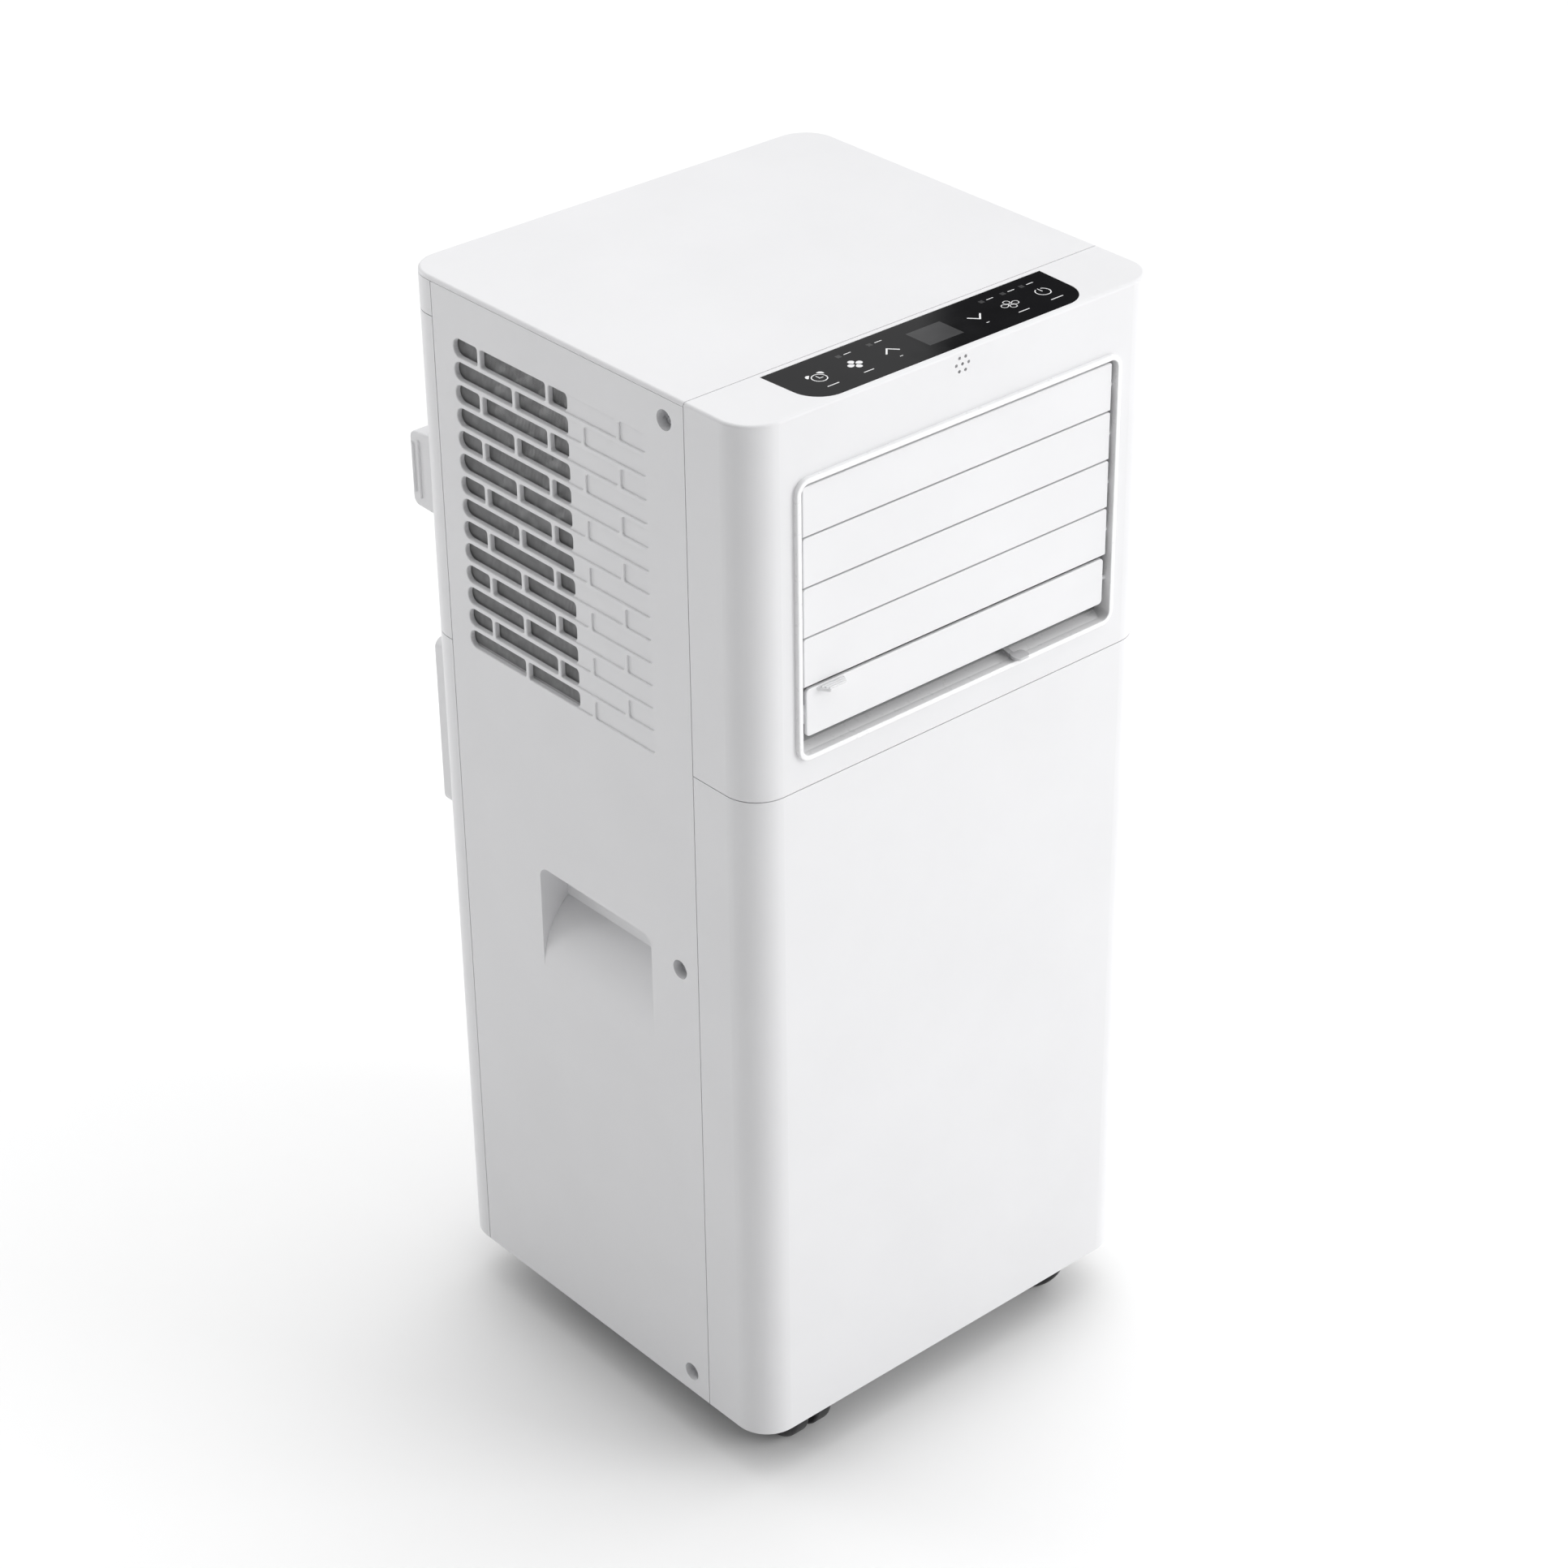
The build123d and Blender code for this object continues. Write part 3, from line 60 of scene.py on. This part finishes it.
class Shader:
    """A node tree with one Principled shader, and short ways to add nodes to it."""

    def __init__(self, name, color, roughness, metallic=0.0, specular=0.5):
        self.material = bpy.data.materials.new(name)
        self.material.use_nodes = True
        self.tree = self.material.node_tree
        self.shader = self.tree.nodes["Principled BSDF"]
        self.shader.inputs["Base Color"].default_value = (*color, 1.0)
        self.shader.inputs["Roughness"].default_value = roughness
        self.shader.inputs["Metallic"].default_value = metallic
        self.shader.inputs["Specular IOR Level"].default_value = specular
        self.place = self.add("ShaderNodeTexCoord").outputs["Object"]

    def add(self, kind, **settings):
        node = self.tree.nodes.new(kind)
        for key, value in settings.items():
            if hasattr(node, key):
                setattr(node, key, value)
            else:
                node.inputs[key.replace("_", " ")].default_value = value
        return node

    def link(self, output, socket):
        self.tree.links.new(output, socket)

    def noise(self, size, detail=2.0, stretch=(1.0, 1.0, 1.0)):
        """Noise whose features are about size metres across, pulled out along an axis by stretch."""
        scale = self.add("ShaderNodeVectorMath", operation="MULTIPLY")
        self.link(self.place, scale.inputs[0])
        scale.inputs[1].default_value = [1.0 / (size * s) for s in stretch]
        noise = self.add("ShaderNodeTexNoise")
        noise.inputs["Scale"].default_value = 1.0
        noise.inputs["Detail"].default_value = detail
        self.link(scale.outputs[0], noise.inputs["Vector"])
        return noise.outputs["Fac"]

    def cells(self, size):
        """Rounded cells about size metres across, as spark-eroded moulds leave on plastic."""
        cells = self.add("ShaderNodeTexVoronoi", feature="SMOOTH_F1")
        cells.inputs["Scale"].default_value = 1.0 / size
        self.link(self.place, cells.inputs["Vector"])
        return cells.outputs["Distance"]

    def spread(self, value, low, high, socket):
        """Feeds a noise value to a shader socket, spread from low to high."""
        ramp = self.add("ShaderNodeMapRange")
        ramp.inputs["From Min"].default_value = NOISE_LOW
        ramp.inputs["From Max"].default_value = NOISE_HIGH
        ramp.inputs["To Min"].default_value = low
        ramp.inputs["To Max"].default_value = high
        self.link(value, ramp.inputs["Value"])
        self.link(ramp.outputs["Result"], self.shader.inputs[socket])

    def tint(self, value, dark, light):
        """Colours the surface between two colours, by a noise value."""
        ramp = self.add("ShaderNodeValToRGB")
        for stop, position, color in zip(ramp.color_ramp.elements, (NOISE_LOW, NOISE_HIGH), (dark, light)):
            stop.position = position
            stop.color = (*color, 1.0)
        self.link(value, ramp.inputs["Fac"])
        self.link(ramp.outputs["Color"], self.shader.inputs["Base Color"])

    def bump(self, value, depth, strength=1.0):
        """Raises the surface by value times depth metres, on top of the bumps that are there."""
        bump = self.add("ShaderNodeBump")
        bump.inputs["Distance"].default_value = depth
        bump.inputs["Strength"].default_value = strength
        self.link(value, bump.inputs["Height"])
        above = self.shader.inputs["Normal"]
        if above.is_linked:
            self.link(above.links[0].from_socket, bump.inputs["Normal"])
        self.link(bump.outputs["Normal"], above)


def shades(color, amount):
    """The colour made a little darker and a little lighter."""
    return [c * (1.0 - amount) for c in color], [min(1.0, c * (1.0 + amount)) for c in color]


def moulded(name, color, roughness, grain=0.35 * MM, depth=0.012 * MM, vary=0.012):
    """Moulded plastic: spark grain, a faint flow unevenness and slightly uneven gloss."""
    s = Shader(name, color, roughness)
    flow = s.noise(60 * MM, 3.0)
    s.tint(flow, *shades(color, vary))
    s.spread(s.noise(4 * MM, 2.0), roughness - 0.04, roughness + 0.05, "Roughness")
    s.bump(flow, 0.05 * MM)
    s.bump(s.cells(grain), depth)
    return s.material


def rubber(name, color):
    """Dull rubber with a coarse, blotchy skin."""
    s = Shader(name, color, 0.7, specular=0.35)
    s.tint(s.noise(6 * MM, 4.0), *shades(color, 0.25))
    s.spread(s.noise(2 * MM), 0.55, 0.8, "Roughness")
    s.bump(s.cells(0.5 * MM), 0.03 * MM)
    return s.material


def metal(name, color, roughness, brushed=(1.0, 1.0, 1.0), vary=0.05):
    """Bare metal. The grain is pulled out along the axes that brushed stretches."""
    s = Shader(name, color, roughness, metallic=1.0)
    grain = s.noise(0.6 * MM, 3.0, brushed)
    s.tint(s.noise(18 * MM, 4.0), *shades(color, vary))
    s.spread(grain, roughness - 0.08, roughness + 0.1, "Roughness")
    s.bump(grain, 0.01 * MM)
    return s.material


def painted(name, color, roughness):
    """Enamel: slight orange peel under a clear coat."""
    s = Shader(name, color, roughness)
    s.tint(s.noise(30 * MM, 3.0), *shades(color, 0.15))
    s.spread(s.noise(9 * MM), roughness - 0.05, roughness + 0.08, "Roughness")
    s.bump(s.noise(2.5 * MM), 0.03 * MM)
    s.shader.inputs["Coat Weight"].default_value = 0.4
    s.shader.inputs["Coat Roughness"].default_value = 0.12
    return s.material


def panel_film(name, color, roughness):
    """Printed gloss film: nearly flat, with a trace of finger marks in the gloss."""
    s = Shader(name, color, roughness)
    s.tint(s.noise(25 * MM, 4.0), *shades(color, 0.12))
    s.spread(s.noise(14 * MM, 5.0), roughness, roughness + 0.04, "Roughness")
    s.bump(s.noise(20 * MM, 1.0), 0.01 * MM)
    return s.material


def ink(name, color):
    """Screen-printed marks, slightly uneven."""
    s = Shader(name, color, 0.45)
    s.tint(s.noise(1.5 * MM, 3.0), *shades(color, 0.04))
    s.bump(s.noise(0.3 * MM), 0.004 * MM)
    return s.material


def woven(name, color):
    """Plastic thread with a faint sheen."""
    s = Shader(name, color, 0.6, specular=0.3)
    s.tint(s.noise(5 * MM, 3.0), *shades(color, 0.15))
    s.bump(s.noise(0.25 * MM), 0.02 * MM)
    s.shader.inputs["Sheen Weight"].default_value = 0.2
    return s.material


def circuit(name, color):
    """Solder mask over tracks that run one way."""
    s = Shader(name, color, 0.35)
    tracks = s.noise(1.6 * MM, 1.0, (6.0, 1.0, 6.0))
    s.tint(tracks, *shades(color, 0.3))
    s.bump(tracks, 0.03 * MM)
    return s.material


SLOTS = {
    "shell_white": moulded("shell_white", (0.745, 0.745, 0.757), 0.38),
    "slat_white": moulded("slat_white", (0.765, 0.765, 0.777), 0.36, grain=0.3 * MM),
    # trim_white's colour is lighter than the shell's: a painted highlight that makes the outlet ledge look
    # brightly lit
    "trim_white": moulded(
        "trim_white", (0.86, 0.86, 0.868), 0.3, grain=0.2 * MM, depth=0.002 * MM
    ),
    "collar_white": moulded("collar_white", (0.735, 0.735, 0.745), 0.4),
    # duct_plastic's darker grey is partly the duct's own grey plastic and partly painted shade for the duct
    # floor shaded by the lowest slat
    "duct_plastic": moulded("duct_plastic", (0.56, 0.56, 0.57), 0.45),
    "castor_black": moulded("castor_black", (0.016, 0.016, 0.018), 0.4, vary=0.15),
    "filter_mesh": woven("filter_mesh", (0.30, 0.30, 0.305)),
    "black_glass": panel_film("black_glass", (0.006, 0.006, 0.007), 0.04),
    "circuit_board": circuit("circuit_board", (0.02, 0.10, 0.045)),
    "grey_plastic": moulded("grey_plastic", (0.18, 0.185, 0.19), 0.5, vary=0.05),
    "fan_plastic": moulded("fan_plastic", (0.04, 0.04, 0.045), 0.45, vary=0.1),
    "zinc_steel": metal("zinc_steel", (0.55, 0.56, 0.58), 0.38),
    "coil_aluminium": metal("coil_aluminium", (0.75, 0.76, 0.78), 0.32, (1.0, 8.0, 1.0)),
    "compressor_black": painted("compressor_black", (0.012, 0.012, 0.013), 0.3),
    "black_rubber": rubber("black_rubber", (0.025, 0.025, 0.026)),
    "copper_line": metal("copper_line", (0.72, 0.36, 0.22), 0.3, vary=0.1),
    "capacitor_can": metal("capacitor_can", (0.68, 0.69, 0.7), 0.3, (1.0, 1.0, 12.0)),
    "screw_steel": metal("screw_steel", (0.62, 0.62, 0.64), 0.28),
}

for part in frame["record"]["subparts"]:
    node = nodes[part["node"]]
    node.data.materials.clear()
    node.data.materials.append(SLOTS[part["material_slot"]])


# ---------------------------------------------------------------- mesh pieces


def piece(name, mesh, material, body, smooth=False):
    """Finishes a bmesh as an object with one material, riding on a body."""
    data = bpy.data.meshes.new(name)
    bmesh.ops.recalc_face_normals(mesh, faces=mesh.faces)
    mesh.to_mesh(data)
    mesh.free()
    for face in data.polygons:
        face.use_smooth = smooth
    data.materials.append(material)
    made = bpy.data.objects.new(name, data)
    bpy.context.scene.collection.objects.link(made)
    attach(made, body)
    return made


def arc(cx, cy, r, start, end, steps=24):
    """Points on an arc, degrees counted from +X towards +Y."""
    turns = [math.radians(start + (end - start) * i / steps) for i in range(steps + 1)]
    return [(cx + r * math.cos(a), cy + r * math.sin(a)) for a in turns]


def turned(points, degrees, cx=0.0, cy=0.0):
    """The points turned about the origin and then moved to (cx, cy)."""
    c, s = math.cos(math.radians(degrees)), math.sin(math.radians(degrees))
    return [(cx + c * x - s * y, cy + s * x + c * y) for x, y in points]


MITRE_LIMIT = 0.5  # a stroke's corner reaches out to at most twice its half width


class Print:
    """Flat printed shapes in millimetres on a level face, given a thickness when finished."""

    def __init__(self, centre, z, thick):
        self.mesh = bmesh.new()
        self.centre = centre
        self.z = z
        self.thick = thick

    def corner(self, x, y):
        """A mesh corner at a place on the face."""
        return self.mesh.verts.new((self.centre.x + x * MM, self.centre.y + y * MM, self.z))

    def fill(self, points):
        """A filled outline."""
        self.mesh.faces.new([self.corner(*p) for p in points])

    def stroke(self, points, width, closed=False):
        """A line of even width along the points."""
        count = len(points)
        sides = []
        for i, (x, y) in enumerate(points):
            before = points[i - 1] if i or closed else points[i]
            after = points[(i + 1) % count] if i < count - 1 or closed else points[i]
            along = Vector((after[0] - before[0], after[1] - before[1])).normalized()
            across = Vector((-along.y, along.x))
            back = Vector((x - before[0], y - before[1]))
            lean = abs(across.dot(Vector((-back.y, back.x)).normalized())) if back.length else 1.0
            reach = across * width / 2 / max(lean, MITRE_LIMIT)
            sides.append((self.corner(x + reach.x, y + reach.y), self.corner(x - reach.x, y - reach.y)))
        for i in range(count if closed else count - 1):
            (a, b), (c, d) = sides[i], sides[(i + 1) % count]
            self.mesh.faces.new((a, c, d, b))

    def bar(self, x, y, w, h):
        """A filled rectangle about a middle point."""
        x0, x1, y0, y1 = x - w / 2, x + w / 2, y - h / 2, y + h / 2
        self.fill([(x0, y0), (x1, y0), (x1, y1), (x0, y1)])

    def finish(self, name, material, body):
        """Thickens the shapes upwards and makes them one piece."""
        top = bmesh.ops.extrude_face_region(self.mesh, geom=list(self.mesh.faces))["geom"]
        corners = [v for v in top if isinstance(v, bmesh.types.BMVert)]
        bmesh.ops.translate(self.mesh, vec=(0, 0, self.thick), verts=corners)
        return piece(name, self.mesh, material, body)


# ---------------------------------------------------------------- control panel

over_low, over_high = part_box("control_overlay")
over_mid = (over_low + over_high) / 2
PRINT_T = 0.03 * MM

# places and sizes on the panel, in millimetres from its middle
KEYS_MID = 2.3
KEY_FIRST = 31.5
KEY_PITCH = 25.0
left_keys, right_keys = ([KEYS_MID + side * (KEY_FIRST + KEY_PITCH * i) for i in range(3)] for side in (-1, 1))
LAMPS_X = (-54.6, -32.6, 49.5, 65.5, 79.7)
LAMP_Y = 12.7
LAMP_SIZE = 3.0
CAPTION_Y = -10.9
SIGN_Y = -8.9
WINDOW_X = 3.0
WINDOW_SIZE = (24.7, 19.3)
LINE = 0.6

legends = Print(over_mid, over_high.z, PRINT_T)


def clock(x):
    """Timer: a clock face with hands and two bells."""
    legends.stroke(arc(x, 0.0, 4.3, 0, 360)[:-1], LINE, closed=True)
    legends.stroke([(x - 0.2, 2.8), (x - 0.2, -0.4), (x + 2.4, -0.4)], LINE)
    for side in (-1, 1):
        legends.fill(turned(arc(0.0, 0.0, 2.1, 0, 180, 10), -45.0 * side, x + side * 3.9, 3.9))


def fan(x):
    """Fan speed: four rounded blades."""
    blade = arc(3.1, 0.2, 1.9, -120, 60, 10) + [(2.6, 2.0), (0.7, 0.6)]
    for k in range(4):
        legends.fill(turned(blade, 90.0 * k, x))


def chevron(x, side):
    """An arrow head that points up for side 1 and down for side -1."""
    legends.stroke([(x - 4.8, -2.4 * side), (x, 2.8 * side), (x + 4.8, -2.4 * side)], 1.0)


def petals(x):
    """Mode: four outlined petals, two near and two far."""
    for k in range(4):
        reach = 2.8 if k % 2 else 4.0
        petal = arc(reach, 0.0, 2.0, -140, 140, 12) + [(0.8, 0.0)]
        legends.stroke(turned(petal, 90.0 * k, x), 0.45, closed=True)


def power(x):
    """A ring that is open at the top, with a bar."""
    legends.stroke(arc(x, 0.0, 4.4, 115, 425), LINE)
    legends.stroke([(x, 4.6), (x, 0.4)], LINE)


clock(left_keys[2])
fan(left_keys[1])
chevron(left_keys[0], 1)
chevron(right_keys[0], -1)
petals(right_keys[1])
power(right_keys[2])
# plain marks where the captions would be
for x, width in ((left_keys[2], 8.0), (left_keys[1], 7.0), (right_keys[1], 8.0), (right_keys[2], 9.0)):
    legends.bar(x, CAPTION_Y, width, 0.7)
for x in LAMPS_X:
    legends.bar(x + 6.2, LAMP_Y, 5.0, 0.6)
for x in (right_keys[0], left_keys[0]):
    legends.bar(x, SIGN_Y, 2.2, 0.5)
legends.finish("panel_legends", ink("panel_ink", (0.78, 0.78, 0.79)), "cabinet")

windows = Print(over_mid, over_high.z, PRINT_T / 2)
windows.bar(WINDOW_X, 0.0, *WINDOW_SIZE)
for x in LAMPS_X:
    windows.bar(x, LAMP_Y, LAMP_SIZE, LAMP_SIZE)
smoked = panel_film("smoked_window", (0.055, 0.055, 0.057), 0.06)
windows.finish("display_windows", smoked, "cabinet")


# ---------------------------------------------------------------- filter mesh


THREAD_PITCH = 0.95 * MM
THREAD_HALF = 0.2 * MM
THREAD_FLAT = 0.8  # a thread's depth over its width


def woven_screen(side):
    """Crossing threads of the intake filter, in place of the plain sheet."""
    low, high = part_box(f"filter_screen_{side}")
    mid_x = (low.x + high.x) / 2
    lift = THREAD_HALF / 2
    mesh = bmesh.new()

    def thread(x, y0, y1, z0, z1):
        place = Matrix.Translation((x, (y0 + y1) / 2, (z0 + z1) / 2))
        size = Matrix.Diagonal((2 * THREAD_HALF * THREAD_FLAT, y1 - y0, z1 - z0, 1.0))
        bmesh.ops.create_cube(mesh, size=1.0, matrix=place @ size)

    for i in range(int((high.y - low.y) / THREAD_PITCH)):
        y = low.y + (i + 0.5) * THREAD_PITCH
        thread(mid_x - lift, y - THREAD_HALF, y + THREAD_HALF, low.z, high.z)
    for i in range(int((high.z - low.z) / THREAD_PITCH)):
        z = low.z + (i + 0.5) * THREAD_PITCH
        thread(mid_x + lift, low.y, high.y, z - THREAD_HALF, z + THREAD_HALF)
    made = piece(f"woven_filter_{side}", mesh, SLOTS["filter_mesh"], f"filter_{side}")
    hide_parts(f"filter_screen_{side}")


for side in ("left", "right"):
    woven_screen(side)


# ---------------------------------------------------------------- stage


FLOOR_HALF = 14.0
FLOOR_WHITE = 0.84

# light on the object: how bright the surroundings are in a direction is SKY_BASE plus the
# direction's share of SKY_LEAN, and at least SKY_DIM
SKY_BASE = 0.33
SKY_LEAN = (0.96, 0.32, 1.24)
SKY_DIM = 0.02

# what polished faces mirror: a card that ends on an upright edge, and the ceiling
CARD_SIDE = (-0.7266, 0.687, 0.0)
CARD_DARK, CARD_LIGHT = 0.04, 0.36
CEILING = 0.8

# softboxes: place, size and power, all aimed at the middle of the cabinet
AIM = (0.0, 0.0, 0.35)
KEY = ((1.9, -2.6, 1.4), 1.6, 41.0)
RIM = ((-1.3, 3.0, 1.0), 1.2, 22.0)

# camera: place from the middle of the cabinet's lower edge, direction, roll in degrees and lens
CAMERA_FROM = (-1.2830, -1.4839, 1.5217)
CAMERA_LOOK = (0.559, 0.6474, -0.5181)
CAMERA_ROLL = -0.715
CAMERA_LENS = 87.97


def backdrop():
    """Plain pale floor."""
    mesh = bmesh.new()
    bmesh.ops.create_grid(mesh, x_segments=8, y_segments=8, size=FLOOR_HALF)
    data = bpy.data.meshes.new("studio_floor")
    mesh.to_mesh(data)
    mesh.free()
    floor = bpy.data.objects.new("studio_floor", data)
    bpy.context.scene.collection.objects.link(floor)
    s = Shader("studio_floor", [FLOOR_WHITE] * 3, 0.6, specular=0.1)
    s.tint(s.noise(1.5, 2.0), [FLOOR_WHITE - 0.005] * 3, [FLOOR_WHITE + 0.005] * 3)
    data.materials.append(s.material)


def sky():
    """Soft studio surroundings: bright above and to the right, dim on the left."""
    world = bpy.data.worlds.new("studio")
    bpy.context.scene.world = world
    world.use_nodes = True
    tree = world.node_tree
    tree.nodes.clear()
    out = tree.nodes.new("ShaderNodeOutputWorld")
    place = tree.nodes.new("ShaderNodeTexCoord").outputs["Generated"]

    def dot(direction):
        node = tree.nodes.new("ShaderNodeVectorMath")
        node.operation = "DOT_PRODUCT"
        tree.links.new(place, node.inputs[0])
        node.inputs[1].default_value = direction
        return node.outputs["Value"]

    def ranged(value, low, high, to_low, to_high):
        """The value's run from low to high, turned into an eased run from to_low to to_high."""
        node = tree.nodes.new("ShaderNodeMapRange")
        node.interpolation_type = "SMOOTHSTEP"
        sockets = ("From Min", "From Max", "To Min", "To Max")
        for socket, number in zip(sockets, (low, high, to_low, to_high)):
            node.inputs[socket].default_value = number
        tree.links.new(value, node.inputs["Value"])
        return node.outputs["Result"]

    def combined(operation, first, second):
        """The result of a math node on an output and an output or a number."""
        node = tree.nodes.new("ShaderNodeMath")
        node.operation = operation
        tree.links.new(first, node.inputs[0])
        if isinstance(second, float):
            node.inputs[1].default_value = second
        else:
            tree.links.new(second, node.inputs[1])
        return node.outputs[0]

    def background(strength):
        node = tree.nodes.new("ShaderNodeBackground")
        node.inputs["Color"].default_value = (1.0, 1.0, 1.0, 1.0)
        tree.links.new(strength, node.inputs["Strength"])
        return node.outputs["Background"]

    glow = combined("MAXIMUM", combined("ADD", dot(SKY_LEAN), SKY_BASE), SKY_DIM)
    card = ranged(dot(CARD_SIDE), -0.004, 0.004, CARD_DARK, CARD_LIGHT)
    ceiling = ranged(dot((0.0, 0.0, 1.0)), 0.6, 0.8, 0.0, CEILING)

    path = tree.nodes.new("ShaderNodeLightPath")
    mix = tree.nodes.new("ShaderNodeMixShader")
    tree.links.new(path.outputs["Is Glossy Ray"], mix.inputs["Fac"])
    tree.links.new(background(glow), mix.inputs[1])
    tree.links.new(background(combined("ADD", card, ceiling)), mix.inputs[2])
    tree.links.new(mix.outputs[0], out.inputs["Surface"])


def softbox(name, place, size, power):
    """A square area light that faces the cabinet."""
    light = bpy.data.lights.new(name, "AREA")
    light.shape = "RECTANGLE"
    light.size = light.size_y = size
    light.energy = power
    lamp = bpy.data.objects.new(name, light)
    lamp.location = place
    lamp.rotation_euler = (Vector(AIM) - Vector(place)).to_track_quat("-Z", "Y").to_euler()
    bpy.context.scene.collection.objects.link(lamp)


def camera():
    """Long lens from the front left, looking down on the top."""
    front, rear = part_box("front_lower_panel"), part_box("rear_lower_panel")
    foot = Vector((0.0, (front[0].y + rear[1].y) / 2, front[0].z))
    data = bpy.data.cameras.new("camera")
    data.lens = CAMERA_LENS
    data.sensor_width = 36.0
    cam = bpy.data.objects.new("camera", data)
    cam.location = foot + Vector(CAMERA_FROM)
    look = Vector(CAMERA_LOOK).to_track_quat("-Z", "Y").to_matrix()
    cam.rotation_euler = (look @ Matrix.Rotation(math.radians(CAMERA_ROLL), 3, "Z")).to_euler()
    bpy.context.scene.collection.objects.link(cam)
    bpy.context.scene.camera = cam


backdrop()
sky()
softbox("key", *KEY)
softbox("rim", *RIM)
camera()
bpy.context.scene.view_settings.view_transform = "Standard"
